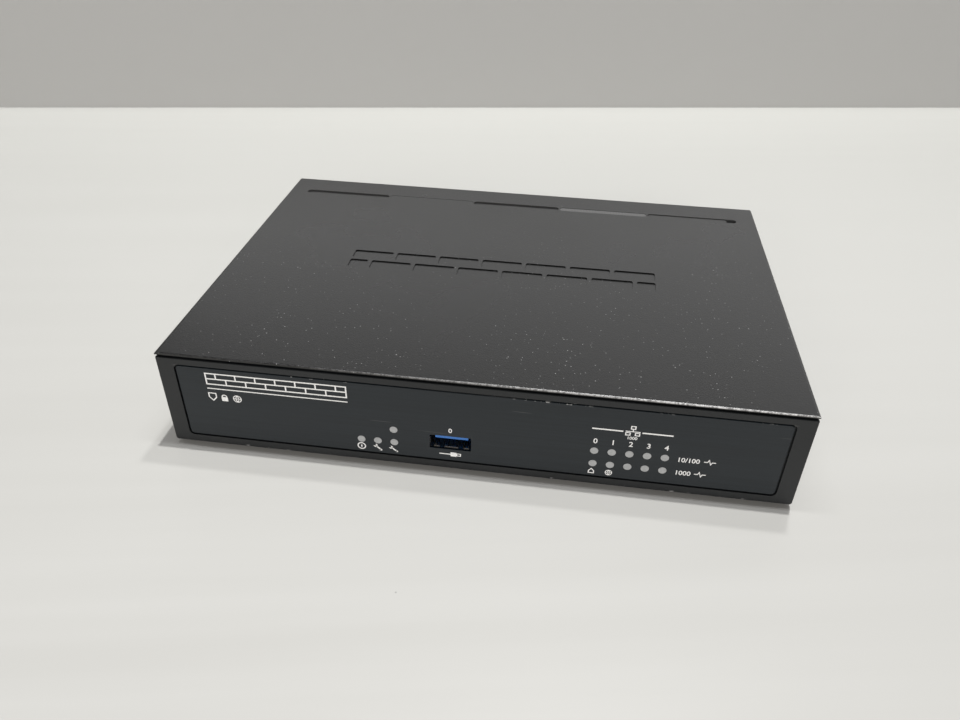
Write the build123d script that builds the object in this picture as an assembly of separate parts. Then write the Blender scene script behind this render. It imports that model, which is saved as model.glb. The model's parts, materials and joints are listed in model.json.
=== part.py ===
from build123d import *
import os

# Desktop network firewall appliance: a flat steel case with a moulded front frame.
#
# Frame: millimetres, +Z up, front face towards -Y, +X to the right seen from the front.
# The origin is the centre of the footprint on the table, under the rubber feet.
#
# Case: a folded top cover over a folded base tray, closed behind by a connector panel and
# in front by a plastic bezel that holds a thin printed overlay.
# Inside: one circuit board on pressed standoffs carries the processor with its heat sink,
# the memory, the power circuit, the rear jacks, the front port and the light pipes.

# ---------------------------------------------------------------- driving dimensions
WIDTH = 190.0
DEPTH = 134.0
HEIGHT = 35.0
SHEET = 0.8             # steel thickness of cover, tray and rear panel
FOOT_HEIGHT = 1.6
BEND_OUTER = 1.2        # outside radius of a folded edge
BEND_INNER = BEND_OUTER - SHEET

SIDE = WIDTH / 2
FRONT = -DEPTH / 2
REAR = DEPTH / 2
COVER_UNDER = HEIGHT - SHEET
FLOOR_BOTTOM = FOOT_HEIGHT
FLOOR_TOP = FLOOR_BOTTOM + SHEET
PAST = 1.0              # how far a cutting tool runs past the face it cuts

# cover
COVER_SKIRT = 1.8       # lower edge of the cover's sides
COVER_SIDE_FRONT = -58.0
COVER_INNER = SIDE - SHEET
EDGE_ROUND = 0.38
SLOT_COUNT = 5
SLOT_PITCH = 35.0
SLOT_LENGTH = 34.6
SLOT_WIDTH = 3.0
SLOT_Y = REAR - 12.65
EMBOSS_DEPTH = 0.35
EMBOSS_WIDTH = 107.0
BRICK_LENGTH = 14.0
BRICK_HEIGHT = 5.4
MORTAR = 1.5
SIDE_VENT_COUNT = 18
SIDE_VENT_PITCH = 5.0
SIDE_VENT_SIZE = (12.0, 2.2)
SIDE_VENT_Z = 20.5

# tray
TRAY_SIDE = COVER_INNER - 0.15
TRAY_FRONT = COVER_SIDE_FRONT
TRAY_REAR = 64.4
TRAY_WALL_TOP = 14.0
LOW_FLANGE_TOP = 6.0
EAR_TOP = 30.0
EAR_X = (79.0, 92.6)
FOOT_RADIUS = 6.0
FOOT_PLACES = [(x, y) for x in (-72.0, 72.0) for y in (-46.0, 50.0)]
KEYHOLE_SPACING = 120.0
KEYHOLE_Y = 16.0
KEYHOLE_RADIUS = 4.0
KEYHOLE_SLOT = (4.2, 9.0)   # width of the narrow end, and its reach from the round end
FLOOR_VENT_X = 34.0
FLOOR_VENT_SIZE = (24.0, 2.4)
FLOOR_VENT_COUNT = 9
FLOOR_VENT_PITCH = 5.5
FLOOR_VENT_Y = -16.0

# rear panel
PANEL_FRONT = TRAY_REAR
PANEL_BACK = PANEL_FRONT + SHEET
PANEL_HALF = COVER_INNER - 0.4
PANEL_BOTTOM = FLOOR_BOTTOM + 0.1
PANEL_TOP = COVER_UNDER - 0.1
TOP_FLANGE = 14.0           # reaches forward under the slots in the cover
BOTTOM_FLANGE = 6.0
RIVET_Y = PANEL_FRONT - 3.0
RIVET_XS = (-80.0, -30.0, 30.0, 80.0)
GRILLE_ROWS = 2
GRILLE_COLUMNS = 30
GRILLE_PITCH = 4.0
GRILLE_HOLE = 1.2
GRILLE_Z = 29.0

# bezel and overlay
BEZEL_FACE = FRONT + 0.2
BEZEL_BACK = COVER_SIDE_FRONT - 0.2
BEZEL_HALF = SIDE - 0.12
BEZEL_BOTTOM = 1.4
BEZEL_TOP = COVER_UNDER - 0.95
BEZEL_WALL = 1.8
OVERLAY_HALF = 89.2
OVERLAY_Z = (4.6, 30.6)
OVERLAY_CORNER = 1.2
OVERLAY_THICKNESS = 0.6
OVERLAY_FRONT = BEZEL_FACE + 0.1
OVERLAY_BACK = OVERLAY_FRONT + OVERLAY_THICKNESS
GROOVE = 0.5            # gap between overlay and bezel
POCKET_FLOOR = OVERLAY_BACK + 0.1
BACKING = (POCKET_FLOOR, POCKET_FLOOR + 1.6)
BOSS_PLACES = [(x, z) for x in (-86.0, 86.0) for z in (8.5, 26.0)]

# board
STANDOFF_HEIGHT = 4.0
BOARD_BOTTOM = FLOOR_TOP + STANDOFF_HEIGHT
BOARD_THICKNESS = 1.6
BOARD_TOP = BOARD_BOTTOM + BOARD_THICKNESS
BOARD_HALF = 88.0
BOARD_Y = (-53.0, 62.0)
BOARD_TONGUE_X = (-45.0, 68.0)
BOARD_TONGUE_FRONT = -62.0
STANDOFF_PLACES = [(x, y) for x in (-83.0, 83.0) for y in (-47.0, 4.0, 42.0)]

# front lights and port
LED_PITCH = 5.08
LED_ROWS = (9.5, 14.4)
PORT_LED_X = [46.15 + (column - 2) * LED_PITCH for column in range(5)]
STATUS_LED_X = [-28.87 + (column - 1) * LED_PITCH for column in range(3)]
PORT_LIGHTS = [(x, z) for x in PORT_LED_X for z in LED_ROWS]
STATUS_LIGHTS = [(x, LED_ROWS[0]) for x in STATUS_LED_X] + [(STATUS_LED_X[2], LED_ROWS[1])]
WINDOW_RADIUS = 1.25
PIPE_RADIUS = 1.2
PIPE_PLATE = (BACKING[1] + 0.05, BACKING[1] + 1.6)
USB_X = -6.57
USB_Z = 11.5
USB_INNER = (12.5, 5.12)
USB_WALL = 0.3
USB_Y = (POCKET_FLOOR, -52.0)

# rear connectors
JACK_FACE = PANEL_BACK + 0.6
JACK_SIZE = (16.0, 21.3, 13.4)
JACK_WALL = 0.25
ETHERNET_XS = [24.0 - 17.6 * port for port in range(5)]
CONSOLE_X = 48.0
SOCKET_DEPTH = 12.0
SOCKET_HALF = 5.95
SOCKET_Z = (4.3, 11.3)      # above the board
LATCH_STEPS = [(3.2, 2.8), (1.9, 1.6)]   # half width and lower edge of each latch notch
DC_X = 78.0
DC_Z = BOARD_TOP + 6.5
DC_BORE = 3.15
DC_PIN = 1.0
DC_PIN_ROOT = 1.4
DC_DEPTH = 9.5
RESET_X = 63.0
RESET_Z = BOARD_TOP + 2.4
RESET_TRAVEL_ROOM = 1.0
GROUND_X = -64.0
GROUND_Z = 14.0
LOCK_PLACE = (-82.0, 24.0)

# fasteners
COVER_SCREW_Z = 8.0
COVER_SCREW_YS = (-38.0, 44.0)
M3_SHANK = 1.45

# processor and heat sink
PROCESSOR = (-8.0, -2.0)
PROCESSOR_SIZE = (25.0, 1.6)
PAD_THICKNESS = 0.5
SINK_SIZE = 40.0
SINK_BASE = 3.0
SINK_TOP = 26.0
SINK_FINS = 9
SINK_PIN_OFFSET = 16.5


# ---------------------------------------------------------------- helpers
def block(x, y, z):
    """A box that spans a (low, high) range on each axis."""
    spans = (x, y, z)
    middle = [(low + high) / 2 for low, high in spans]
    return Pos(*middle) * Box(*[high - low for low, high in spans])


def rod(axis, radius, span, at):
    """A cylinder along an axis, spanning (low, high) on it, at the other two coordinates."""
    low, high = span
    middle = (low + high) / 2
    first, second = at
    place = {
        "X": Pos(middle, first, second) * Rot(0, 90, 0),
        "Y": Pos(first, middle, second) * Rot(-90, 0, 0),
        "Z": Pos(first, second, middle),
    }[axis]
    return place * Cylinder(radius, high - low)


def prism_x(outline, x):
    """A (Y, Z) outline pushed along X over a (low, high) range."""
    return extrude(Plane.YZ.offset(x[0]) * outline, amount=x[1] - x[0])


def prism_y(outline, y):
    """An (X, Z) outline pushed along Y over a (low, high) range."""
    return extrude(Plane.XZ.offset(-y[1]) * outline, amount=y[1] - y[0])


def prism_z(outline, z):
    """An (X, Y) outline pushed along Z over a (low, high) range."""
    return extrude(Plane.XY.offset(z[0]) * outline, amount=z[1] - z[0])


def around(middle, half):
    """The (low, high) range that reaches half either side of a middle."""
    return (middle - half, middle + half)


def group(shapes):
    """Several separate solids as one node."""
    return Compound([solid for shape in shapes for solid in shape.solids()])


def drive_recess(reach, depth):
    """The cross that a screwdriver turns, cut down from z = 0."""
    arm = 0.75
    one = Pos(0, 0, -depth / 2) * Box(2 * reach, arm, depth)
    return one + Rot(0, 0, 90) * one


def pan_screw(shank, length, head, height):
    """A pan-head screw: its head stands on z = 0 and its shank points down."""
    top = Pos(0, 0, height / 2) * Cylinder(head, height)
    top = fillet(top.edges().group_by(Axis.Z)[-1], height * 0.45)
    body = top + Pos(0, 0, -length / 2) * Cylinder(shank, length)
    return body - Pos(0, 0, height) * drive_recess(head * 0.55, height * 0.6)


def countersunk_screw(shank, length, head):
    """A countersunk screw whose flat head ends at z = 0."""
    cone_height = head - shank
    cone = Pos(0, 0, -cone_height / 2) * Cone(shank, head, cone_height)
    body = cone + Pos(0, 0, -length / 2) * Cylinder(shank, length)
    return body - drive_recess(head * 0.6, 1.0)


def rows(count, pitch, middle=0.0):
    """Evenly spaced positions about a middle."""
    return [middle + (index - (count - 1) / 2) * pitch for index in range(count)]


# ---------------------------------------------------------------- case
def brick_places():
    """Centre and length of each brick in the two courses pressed into the cover."""
    pitch = BRICK_LENGTH + MORTAR
    full = rows(7, pitch)
    inner = rows(6, pitch)
    half_length = (EMBOSS_WIDTH - 6 * pitch - MORTAR) / 2
    end = (EMBOSS_WIDTH - half_length) / 2
    upper = (BRICK_HEIGHT + MORTAR) / 2
    places = [(x, upper, BRICK_LENGTH) for x in full]
    places += [(x, -upper, BRICK_LENGTH) for x in inner]
    places += [(x, -upper, half_length) for x in (-end, end)]
    return places


def top_cover():
    outer = block((-SIDE, SIDE), (FRONT, REAR), (COVER_SKIRT, HEIGHT))
    outer = fillet(outer.edges().filter_by(Axis.Y).group_by(Axis.Z)[-1], BEND_OUTER)
    outer = fillet(outer.edges().filter_by(Axis.X).group_by(Axis.Z)[-1], EDGE_ROUND)
    inside = block(
        (-COVER_INNER, COVER_INNER), (FRONT - PAST, REAR + PAST), (-PAST, COVER_UNDER)
    )
    inside = fillet(inside.edges().filter_by(Axis.Y).group_by(Axis.Z)[-1], BEND_INNER)
    cover = outer - inside
    room_for_bezel = block(
        (-SIDE - PAST, SIDE + PAST), (FRONT - PAST, COVER_SIDE_FRONT), (0, COVER_UNDER)
    )
    cover -= room_for_bezel
    step = 0.3
    for x, y, length in brick_places():
        under = RectangleRounded(length + 2 * step, BRICK_HEIGHT + 2 * step, 1.0)
        cover += prism_z(Pos(x, y) * under, (COVER_UNDER - EMBOSS_DEPTH, COVER_UNDER))
    for x, y, length in brick_places():
        pressed = RectangleRounded(length, BRICK_HEIGHT, 0.7)
        cover -= prism_z(Pos(x, y) * pressed, (HEIGHT - EMBOSS_DEPTH, HEIGHT + PAST))
    through = (COVER_UNDER - PAST, HEIGHT + PAST)
    for x in rows(SLOT_COUNT, SLOT_PITCH):
        cover -= prism_z(Pos(x, SLOT_Y) * SlotOverall(SLOT_LENGTH, SLOT_WIDTH), through)
    across = (-SIDE - PAST, SIDE + PAST)
    for y in rows(SIDE_VENT_COUNT, SIDE_VENT_PITCH):
        slot = Pos(y, SIDE_VENT_Z) * SlotOverall(*SIDE_VENT_SIZE, rotation=90)
        cover -= prism_x(slot, across)
    for side in (-1, 1):
        for y in COVER_SCREW_YS:
            cone = Rot(0, side * 90, 0) * Cone(2.85 - SHEET, 2.85, SHEET)
            cover -= Pos(side * (SIDE - SHEET / 2), y, COVER_SCREW_Z) * cone
    return cover


def keyhole(x):
    """A round entry with a narrow slot towards the front, cut through the floor."""
    width, reach = KEYHOLE_SLOT
    through = (FLOOR_BOTTOM - PAST, FLOOR_TOP + PAST)
    entry = rod("Z", KEYHOLE_RADIUS, through, (x, KEYHOLE_Y))
    neck = block(around(x, width / 2), (KEYHOLE_Y - reach, KEYHOLE_Y), through)
    return entry + neck + rod("Z", width / 2, through, (x, KEYHOLE_Y - reach))


def base_tray():
    outer = block(
        (-TRAY_SIDE, TRAY_SIDE), (TRAY_FRONT, TRAY_REAR), (FLOOR_BOTTOM, TRAY_WALL_TOP)
    )
    outer = fillet(outer.edges().filter_by(Axis.Y).group_by(Axis.Z)[0], BEND_OUTER)
    inside = block(
        around(0, TRAY_SIDE - SHEET),
        (TRAY_FRONT - PAST, TRAY_REAR + PAST),
        (FLOOR_TOP, TRAY_WALL_TOP + PAST),
    )
    inside = fillet(inside.edges().filter_by(Axis.Y).group_by(Axis.Z)[0], BEND_INNER)
    tray = outer - inside
    front_wall = (TRAY_FRONT, TRAY_FRONT + SHEET)
    tray += block((-EAR_X[1], EAR_X[1]), front_wall, (FLOOR_BOTTOM + 0.4, LOW_FLANGE_TOP))
    for side in (-1, 1):
        ear = sorted((side * EAR_X[0], side * EAR_X[1]))
        tray += block(ear, front_wall, (FLOOR_TOP, EAR_TOP))
    through = (FLOOR_BOTTOM - PAST, FLOOR_TOP + PAST)
    for place in STANDOFF_PLACES:
        tray -= rod("Z", 2.0, through, place)
    for x in (-KEYHOLE_SPACING / 2, KEYHOLE_SPACING / 2):
        tray -= keyhole(x)
    for y in rows(FLOOR_VENT_COUNT, FLOOR_VENT_PITCH, FLOOR_VENT_Y):
        for x in (-FLOOR_VENT_X, FLOOR_VENT_X):
            tray -= prism_z(Pos(x, y) * SlotOverall(*FLOOR_VENT_SIZE), through)
    for x in RIVET_XS:
        tray -= rod("Z", 1.65, through, (x, RIVET_Y))
    for x, z in BOSS_PLACES:
        tray -= rod("Y", 1.4, (TRAY_FRONT - PAST, TRAY_FRONT + SHEET + PAST), (x, z))
    for y in COVER_SCREW_YS:
        tray -= rod("X", 1.95, (-SIDE, SIDE), (y, COVER_SCREW_Z))
    return tray


def rear_panel():
    panel = block((-PANEL_HALF, PANEL_HALF), (PANEL_FRONT, PANEL_BACK), (PANEL_BOTTOM, PANEL_TOP))
    top_flange = (PANEL_FRONT - TOP_FLANGE, PANEL_BACK)
    panel += block(around(0, 90.0), top_flange, (PANEL_TOP - SHEET, PANEL_TOP))
    panel = fillet(
        panel.edges().filter_by(Axis.X).group_by(Axis.Y)[-1].sort_by(Axis.Z)[-1], EDGE_ROUND
    )
    bottom_flange = (PANEL_FRONT - BOTTOM_FLANGE, PANEL_FRONT)
    panel += block(around(0, 90.0), bottom_flange, (FLOOR_TOP, FLOOR_TOP + SHEET))
    wall = (PANEL_FRONT - PAST, PANEL_BACK + PAST)
    gap = 0.2
    for x in [*ETHERNET_XS, CONSOLE_X]:
        panel -= block(
            around(x, JACK_SIZE[0] / 2 + gap), wall, (BOARD_TOP - gap, BOARD_TOP + JACK_SIZE[2] + gap)
        )
    panel -= rod("Y", 4.5, wall, (DC_X, DC_Z))
    panel -= rod("Y", 1.1, wall, (RESET_X, RESET_Z))
    panel -= rod("Y", 1.8, wall, (GROUND_X, GROUND_Z))
    panel -= prism_y(Pos(*LOCK_PLACE) * RectangleRounded(7.0, 3.0, 0.6), wall)
    holes = [
        rod("Y", GRILLE_HOLE, wall, (x, z))
        for z in rows(GRILLE_ROWS, GRILLE_PITCH, GRILLE_Z)
        for x in rows(GRILLE_COLUMNS, GRILLE_PITCH)
    ]
    panel -= holes
    for x in RIVET_XS:
        panel -= rod("Z", 1.65, (FLOOR_TOP - PAST, FLOOR_TOP + SHEET + PAST), (x, RIVET_Y))
    return panel


def front_bezel():
    bezel = block(
        (-BEZEL_HALF, BEZEL_HALF), (BEZEL_FACE, BEZEL_BACK), (BEZEL_BOTTOM, BEZEL_TOP)
    )
    bezel = fillet(bezel.edges().filter_by(Axis.Y).group_by(Axis.Z)[0], 0.8)
    bezel = fillet(bezel.edges().filter_by(Axis.Y).group_by(Axis.Z)[-1], 0.35)
    bezel = fillet(bezel.faces().sort_by(Axis.Y)[0].edges(), 0.3)
    hollow_back = BACKING[1]
    bezel -= block(
        around(0, BEZEL_HALF - BEZEL_WALL),
        (hollow_back, BEZEL_BACK + PAST),
        (BEZEL_BOTTOM + BEZEL_WALL, BEZEL_TOP - BEZEL_WALL),
    )
    pocket_width = 2 * (OVERLAY_HALF + GROOVE)
    pocket_height = OVERLAY_Z[1] - OVERLAY_Z[0] + 2 * GROOVE
    pocket = RectangleRounded(pocket_width, pocket_height, OVERLAY_CORNER + GROOVE)
    middle = sum(OVERLAY_Z) / 2
    bezel -= prism_y(Pos(0, middle) * pocket, (BEZEL_FACE - PAST, POCKET_FLOOR))
    rib_base = BEZEL_TOP - BEZEL_WALL / 2
    rib = (BEZEL_FACE + 1.3, BEZEL_FACE + 3.4)
    bezel += block(around(0, BEZEL_HALF - 0.15), rib, (rib_base, COVER_UNDER - 0.05))
    for x in rows(4, 40.0):
        bezel += block(around(x, 0.6), (hollow_back - 0.2, BEZEL_BACK), (BEZEL_BOTTOM + 1.0, 6.2))
        bezel += block(around(x, 0.6), (hollow_back - 0.2, BEZEL_BACK), (28.0, BEZEL_TOP - 1.0))
    for x, z in BOSS_PLACES:
        bezel += rod("Y", 3.0, (hollow_back - 0.2, TRAY_FRONT), (x, z))
        bezel -= rod("Y", 1.15, (hollow_back + 0.6, TRAY_FRONT + PAST), (x, z))
    wall = (BEZEL_FACE, hollow_back + PAST)
    for x, z in PORT_LIGHTS + STATUS_LIGHTS:
        bezel -= rod("Y", PIPE_RADIUS + 0.2, wall, (x, z))
    half_width, half_height = (size / 2 + USB_WALL + 0.2 for size in USB_INNER)
    bezel -= block(around(USB_X, half_width), wall, around(USB_Z, half_height))
    return bezel


def front_overlay():
    height = OVERLAY_Z[1] - OVERLAY_Z[0]
    outline = Pos(0, sum(OVERLAY_Z) / 2) * RectangleRounded(
        2 * OVERLAY_HALF, height, OVERLAY_CORNER
    )
    overlay = prism_y(outline, (OVERLAY_FRONT, OVERLAY_BACK))
    overlay = chamfer(overlay.faces().sort_by(Axis.Y)[0].edges(), 0.12)
    through = (OVERLAY_FRONT - PAST, OVERLAY_BACK + PAST)
    for x, z in PORT_LIGHTS + STATUS_LIGHTS:
        overlay -= rod("Y", WINDOW_RADIUS, through, (x, z))
    port = Pos(USB_X, USB_Z) * RectangleRounded(USB_INNER[0] + 0.1, USB_INNER[1], 0.35)
    return overlay - prism_y(port, through)


def rubber_feet():
    feet = []
    for x, y in FOOT_PLACES:
        foot = rod("Z", FOOT_RADIUS, (0, FOOT_HEIGHT), (x, y))
        feet.append(fillet(foot.edges().group_by(Axis.Z)[0], 0.5))
    return group(feet)


def slot_strip(slot_index, length, crown):
    """A strip stuck on the panel's top flange, which fills a slot to crown below the cover's face."""
    x = rows(SLOT_COUNT, SLOT_PITCH)[slot_index] - (SLOT_LENGTH - length) / 2
    clear = 0.1
    outline = SlotOverall(length - 2 * clear, SLOT_WIDTH - 2 * clear)
    return prism_z(Pos(x, SLOT_Y) * outline, (PANEL_TOP, HEIGHT - crown))


def slot_seal_strips():
    return group(
        [
            slot_strip(0, SLOT_LENGTH, 0.5),
            slot_strip(1, SLOT_LENGTH, 0.06),
            slot_strip(2, SLOT_LENGTH, 0.5),
            slot_strip(4, 31.0, 0.25),
        ]
    )


def insulator_sheet():
    middle = block((-20, 20), (-48, 14), (FLOOR_TOP, FLOOR_TOP + 0.25))
    return middle + block((-54, 54), (14, 56), (FLOOR_TOP, FLOOR_TOP + 0.25))


def rating_label():
    outline = Pos(0, 42) * RectangleRounded(62, 26, 1.5)
    return prism_z(outline, (FLOOR_BOTTOM - 0.1, FLOOR_BOTTOM))


# ---------------------------------------------------------------- fasteners
def cover_screws():
    screw = countersunk_screw(M3_SHANK, 6.0, 2.75)
    return group(
        Pos(side * (SIDE - 0.05), y, COVER_SCREW_Z) * Rot(0, side * 90, 0) * screw
        for side in (-1, 1)
        for y in COVER_SCREW_YS
    )


def clinch_nuts():
    """Threaded nuts pressed to the tray's sides, and one behind the rear panel."""
    nuts = []
    inner = TRAY_SIDE - SHEET
    for side in (-1, 1):
        span = sorted((side * inner, side * (inner - 2.0)))
        for y in COVER_SCREW_YS:
            nut = rod("X", 3.0, span, (y, COVER_SCREW_Z))
            nuts.append(nut - rod("X", M3_SHANK + 0.08, (-SIDE, SIDE), (y, COVER_SCREW_Z)))
    behind = (PANEL_FRONT - 2.4, PANEL_FRONT)
    nut = rod("Y", 3.6, behind, (GROUND_X, GROUND_Z))
    nuts.append(nut - rod("Y", 1.78, around(PANEL_FRONT, 4.0), (GROUND_X, GROUND_Z)))
    return group(nuts)


def bezel_screws():
    screw = pan_screw(1.1, 6.0, 2.3, 1.5)
    return group(
        Pos(x, TRAY_FRONT + SHEET, z) * Rot(-90, 0, 0) * screw for x, z in BOSS_PLACES
    )


def board_standoffs():
    posts = []
    for place in STANDOFF_PLACES:
        post = rod("Z", 3.0, (FLOOR_TOP, BOARD_BOTTOM), place)
        post += rod("Z", 1.97, (FLOOR_BOTTOM, FLOOR_TOP + 0.1), place)
        posts.append(post - rod("Z", M3_SHANK + 0.08, (FLOOR_BOTTOM + 0.6, BOARD_TOP), place))
    return group(posts)


def board_screws():
    screw = pan_screw(M3_SHANK, 5.0, 2.75, 2.0)
    return group(Pos(x, y, BOARD_TOP) * screw for x, y in STANDOFF_PLACES)


def panel_rivets():
    rivets = []
    for place in ((x, RIVET_Y) for x in RIVET_XS):
        rivet = rod("Z", 1.6, (FLOOR_BOTTOM - 0.5, FLOOR_TOP + SHEET + 0.8), place)
        rivet += rod("Z", 2.8, (FLOOR_BOTTOM - 0.7, FLOOR_BOTTOM), place)
        rivets.append(rivet + rod("Z", 2.1, (FLOOR_TOP + SHEET, FLOOR_TOP + SHEET + 0.9), place))
    return group(rivets)


def ground_screw():
    screw = pan_screw(1.7, 6.0, 3.4, 0.95)
    return Pos(GROUND_X, PANEL_BACK + 0.6, GROUND_Z) * Rot(-90, 0, 0) * screw


def ground_washer():
    ring = rod("Y", 4.2, (PANEL_BACK, PANEL_BACK + 0.6), (GROUND_X, GROUND_Z))
    ring -= rod("Y", 1.85, around(PANEL_BACK, 3.0), (GROUND_X, GROUND_Z))
    teeth = [
        Pos(GROUND_X, PANEL_BACK + 0.3, GROUND_Z)
        * Rot(0, angle, 0)
        * Pos(4.2, 0, 0)
        * Box(0.9, 0.8, 0.6)
        for angle in range(0, 360, 30)
    ]
    return ring - teeth


# ---------------------------------------------------------------- lights
def light_pipe(lights):
    """Moulded clear pipes: round heads in the overlay, one plate, and a leg to each chip."""
    xs = [x for x, _ in lights]
    zs = [z for _, z in lights]
    pipe = block(
        (min(xs) - 1.6, max(xs) + 1.6), PIPE_PLATE, (LED_ROWS[0] - 1.1, max(zs) + 1.4)
    )
    for x, z in lights:
        pipe += rod("Y", PIPE_RADIUS, (OVERLAY_FRONT, PIPE_PLATE[0] + 0.2), (x, z))
        if z == LED_ROWS[0]:
            continue
        arm = block(around(x, 1.0), (PIPE_PLATE[1] - 0.2, -57.6), around(z, 1.1))
        leg = block(around(x, 1.0), (-59.8, -57.6), (BOARD_TOP + 1.2, z))
        corner = (arm + leg).edges().filter_by(Axis.X).group_by(Axis.Y)[-1].sort_by(Axis.Z)[-1]
        pipe += chamfer(corner, 1.9)
    return pipe


def indicator_leds():
    chips = []
    for x, z in PORT_LIGHTS + STATUS_LIGHTS:
        if z == LED_ROWS[0]:
            chips.append(block(around(x, 0.8), (-61.9, -60.7), (BOARD_TOP, BOARD_TOP + 1.2)))
        else:
            chips.append(block(around(x, 0.8), (-59.3, -58.1), (BOARD_TOP, BOARD_TOP + 0.8)))
    return group(chips)


# ---------------------------------------------------------------- board
def main_board():
    heights = (BOARD_BOTTOM, BOARD_TOP)
    board = block((-BOARD_HALF, BOARD_HALF), BOARD_Y, heights)
    board += block(BOARD_TONGUE_X, (BOARD_TONGUE_FRONT, BOARD_Y[0]), heights)
    through = (BOARD_BOTTOM - PAST, BOARD_TOP + PAST)
    for place in STANDOFF_PLACES:
        board -= rod("Z", 1.7, through, place)
    for side in (-1, 1):
        x, y = PROCESSOR
        board -= rod("Z", 1.6, through, (x + side * SINK_PIN_OFFSET, y + side * SINK_PIN_OFFSET))
        leg_x = USB_X + side * (USB_INNER[0] / 2 + USB_WALL / 2)
        board -= block(around(leg_x, 0.45), (-58.6, -55.4), through)
    return board


def processor():
    half = PROCESSOR_SIZE[0] / 2
    x, y = PROCESSOR
    chip = block(around(x, half), around(y, half), (BOARD_TOP, BOARD_TOP + 1.0))
    lid = block(
        around(x, half - 3), around(y, half - 3), (BOARD_TOP + 1.0, BOARD_TOP + PROCESSOR_SIZE[1])
    )
    return chip + chamfer(lid.edges().group_by(Axis.Z)[-1], 0.25)


def thermal_pad():
    half = PROCESSOR_SIZE[0] / 2 - 3.5
    x, y = PROCESSOR
    bottom = BOARD_TOP + PROCESSOR_SIZE[1]
    return block(around(x, half), around(y, half), (bottom, bottom + PAD_THICKNESS))


def heat_sink():
    x, y = PROCESSOR
    bottom = BOARD_TOP + PROCESSOR_SIZE[1] + PAD_THICKNESS
    half = SINK_SIZE / 2
    sink = block(around(x, half), around(y, half), (bottom, bottom + SINK_BASE))
    for fin_x in rows(SINK_FINS, (SINK_SIZE - 1.2) / (SINK_FINS - 1), x):
        sink += block(around(fin_x, 0.6), around(y, half), (bottom + SINK_BASE, SINK_TOP))
    for side in (-1, 1):
        place = (x + side * SINK_PIN_OFFSET, y + side * SINK_PIN_OFFSET)
        sink -= rod("Z", 4.0, (bottom + SINK_BASE, SINK_TOP + PAST), place)
        sink -= rod("Z", 1.8, (bottom - PAST, SINK_TOP), place)
    return sink


def sink_pin_places():
    x, y = PROCESSOR
    return [(x + side * SINK_PIN_OFFSET, y + side * SINK_PIN_OFFSET) for side in (-1, 1)]


def sink_base_top():
    return BOARD_TOP + PROCESSOR_SIZE[1] + PAD_THICKNESS + SINK_BASE


def heat_sink_pins():
    pins = []
    for place in sink_pin_places():
        pin = rod("Z", 1.4, (BOARD_BOTTOM - 0.4, sink_base_top() + 7.0), place)
        pin += rod("Z", 3.2, (sink_base_top() + 6.4, sink_base_top() + 8.0), place)
        barb = Pos(*place, BOARD_BOTTOM - 1.0) * Cone(0.8, 1.9, 1.2)
        pins.append(pin + barb)
    return group(pins)


def heat_sink_springs():
    springs = []
    low = sink_base_top() + 0.4
    for place in sink_pin_places():
        path = Pos(*place, low) * Helix(pitch=1.4, height=5.6, radius=2.3)
        start = path @ 0
        profile = Plane(origin=start, z_dir=path % 0) * Circle(0.3)
        springs.append(sweep(profile, path=path))
    return group(springs)


def chips(places, size):
    """Flat packages of one (x, y, z) size, each at a board place."""
    width, depth, height = size
    found = []
    for x, y in places:
        body = block(
            around(x, width / 2), around(y, depth / 2), (BOARD_TOP, BOARD_TOP + height)
        )
        found.append(chamfer(body.edges().group_by(Axis.Z)[-1], min(0.15, height / 6)))
    return found


def memory_chips():
    return group(chips([(x, -34.0) for x in rows(4, 12.0, PROCESSOR[0])], (9.0, 13.5, 1.1)))


def flash_chips():
    return group(chips([(34.0, -30.0)], (12.0, 18.4, 1.1)) + chips([(50.0, -34.0)], (7.5, 10.3, 2.3)))


def switch_chip():
    return group(chips([(-16.0, 27.0)], (14.0, 14.0, 1.4)))


def lan_transformers():
    return group(chips([(x, 39.0) for x in ETHERNET_XS], (12.7, 7.2, 6.0)))


def rounded_cans(places, size, corner):
    """Rounded cans of one (x, y, z) size, each at a board place."""
    width, depth, height = size
    outline = RectangleRounded(width, depth, corner)
    heights = (BOARD_TOP, BOARD_TOP + height)
    cans = [prism_z(Pos(*place) * outline, heights) for place in places]
    return group(fillet(can.edges().group_by(Axis.Z)[-1], 0.2) for can in cans)


def power_inductors():
    places = [(46.0, 32.0), (46.0, 20.0), (58.0, 26.0)]
    return rounded_cans(places, (7.3, 7.3, 4.0), 1.2)


def electrolytic_capacitors():
    cans = []
    for x, y in ((71.0, 38.0), (59.5, 39.5), (72.0, 27.0), (72.0, 16.0), (60.0, 8.0)):
        can = rod("Z", 4.0, (BOARD_TOP + 0.3, BOARD_TOP + 11.8), (x, y))
        can = fillet(can.edges().group_by(Axis.Z)[-1], 0.5)
        base = block(around(x, 4.1), around(y, 4.1), (BOARD_TOP, BOARD_TOP + 1.2))
        cans.append(can + base)
    return group(cans)


def ceramic_capacitors():
    x, y = PROCESSOR
    reach = SINK_SIZE / 2 + 2.5
    places = [(x + side * reach, row) for side in (-1, 1) for row in rows(7, 5.0, y)]
    places += [(column, y - reach) for column in rows(7, 5.0, x)]
    return group(
        block(around(px, 0.4), around(py, 0.8), (BOARD_TOP, BOARD_TOP + 0.8)) for px, py in places
    )


def crystals():
    return rounded_cans([(-36.0, 30.0), (22.0, -12.0)], (5.0, 3.2, 1.0), 0.8)


COIN_PLACE = (-60.0, -22.0)
COIN_RADIUS = 10.0
COIN_Z = (BOARD_TOP + 1.2, BOARD_TOP + 4.4)


def coin_cell():
    cell = rod("Z", COIN_RADIUS, COIN_Z, COIN_PLACE)
    return fillet(cell.edges().group_by(Axis.Z)[-1], 0.4)


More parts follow.
